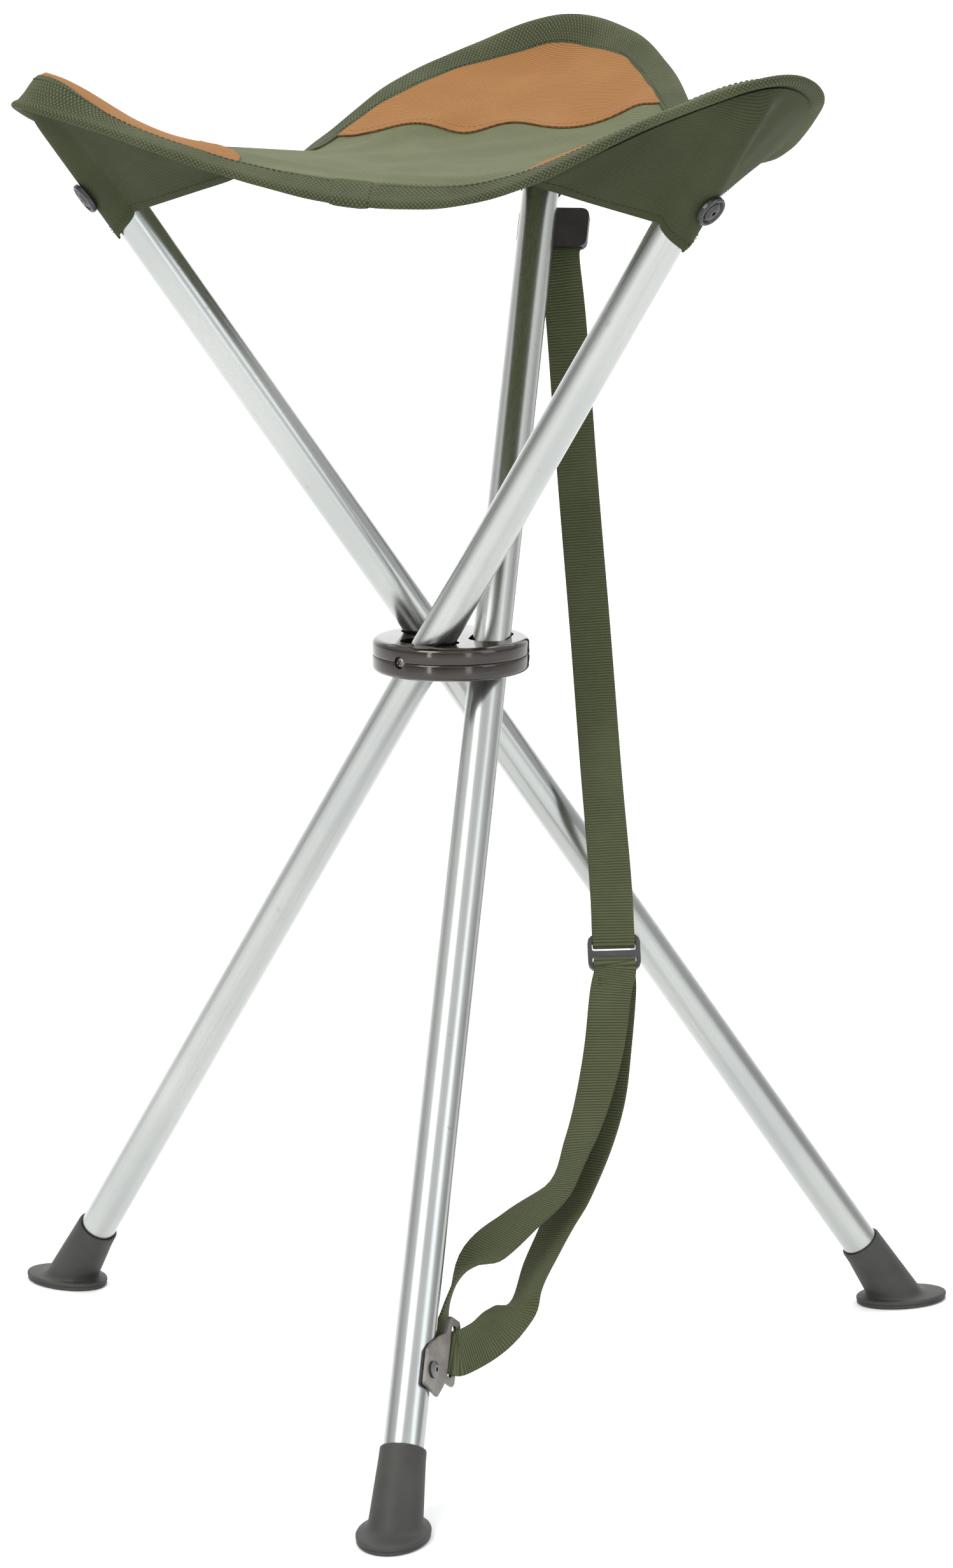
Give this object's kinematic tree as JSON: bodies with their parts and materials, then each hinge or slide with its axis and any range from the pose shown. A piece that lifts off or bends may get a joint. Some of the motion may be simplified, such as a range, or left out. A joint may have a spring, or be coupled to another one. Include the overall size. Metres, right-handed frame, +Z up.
{
  "type": "three leg folding stool",
  "caption": "Folding stool: crossed tube legs pivot in a round hub and carry a dished canvas seat with tan corners; rubber feet and a webbing carry strap.",
  "frame": {"origin": "on the floor, under the middle of the open stool's bounding box", "axes": "+Z up, -Y towards the viewer of the picture, +X to the viewer's right"},
  "size_m": [0.4954, 0.4908, 0.6781],
  "materials": {
    "aluminium": "satin anodised, drawn streaks along the tube",
    "steel": "plain zinc",
    "hub_plastic": "glossy dark brown",
    "grey_plastic": "smooth dark grey",
    "rubber": "matt dark grey",
    "canvas": "olive twill canvas",
    "tape": "coarse olive basket weave",
    "patch": "tan twill",
    "webbing": "ribbed olive webbing"
  },
  "bodies": {
    "hub": {"hub_upper": "hub_plastic", "hub_lower": "hub_plastic", "hub_clamp_screw": "steel", "hub_clamp_nut": "steel", "seat_panel": "canvas", "edge_binding": "tape", "pivot_screw_left": "steel", "pivot_screw_right": "steel", "pivot_screw_rear": "steel", "corner_patch_left": "patch", "corner_patch_right": "patch", "corner_patch_rear": "patch"},
    "leg_left": {"leg_tube_left": "aluminium", "leg_plug_left": "grey_plastic", "foot_left": "rubber", "pivot_sleeve_left": "grey_plastic", "corner_pocket_left": "canvas", "corner_rivet_left": "steel", "cup_washer_left": "steel"},
    "leg_right": {"leg_tube_right": "aluminium", "leg_plug_right": "grey_plastic", "foot_right": "rubber", "pivot_sleeve_right": "grey_plastic", "corner_pocket_right": "canvas", "corner_rivet_right": "steel", "cup_washer_right": "steel"},
    "leg_rear": {"leg_tube_rear": "aluminium", "leg_plug_rear": "grey_plastic", "foot_rear": "rubber", "pivot_sleeve_rear": "grey_plastic", "corner_pocket_rear": "canvas", "corner_rivet_rear": "steel", "cup_washer_rear": "steel", "strap_top_fitting": "grey_plastic", "strap_top_rivet": "steel", "strap_upper": "webbing", "strap_slider": "grey_plastic", "strap_loop": "webbing", "strap_bracket": "steel", "strap_bracket_rivet": "steel"}
  },
  "joints": [
    {"name": "leg_left_fold", "type": "hinge", "parent": "hub", "child": "leg_left", "pos_m": [-0.02211, 0.05743, 0.37], "axis": [-0.3305, 0.9438, 0], "range_deg": [0, 35], "deforming": ["corner_pocket_left", "corner_patch_left", "seat_panel", "edge_binding"]},
    {"name": "leg_right_fold", "type": "hinge", "parent": "hub", "child": "leg_right", "pos_m": [-0.02848, 0.02373, 0.37], "axis": [-0.6521, -0.7581, 0], "range_deg": [0, 35], "deforming": ["corner_pocket_right", "corner_patch_right"]},
    {"name": "leg_rear_fold", "type": "hinge", "parent": "hub", "child": "leg_rear", "pos_m": [0.00389, 0.03506, 0.37], "axis": [0.9826, -0.1857, 0], "range_deg": [0, 35], "deforming": ["corner_pocket_rear", "corner_patch_rear", "strap_upper", "strap_loop"]}
  ],
  "couplings": [
    {"joint": "leg_right_fold", "follows": "leg_left_fold", "ratio": 1},
    {"joint": "leg_rear_fold", "follows": "leg_left_fold", "ratio": 1}
  ]
}
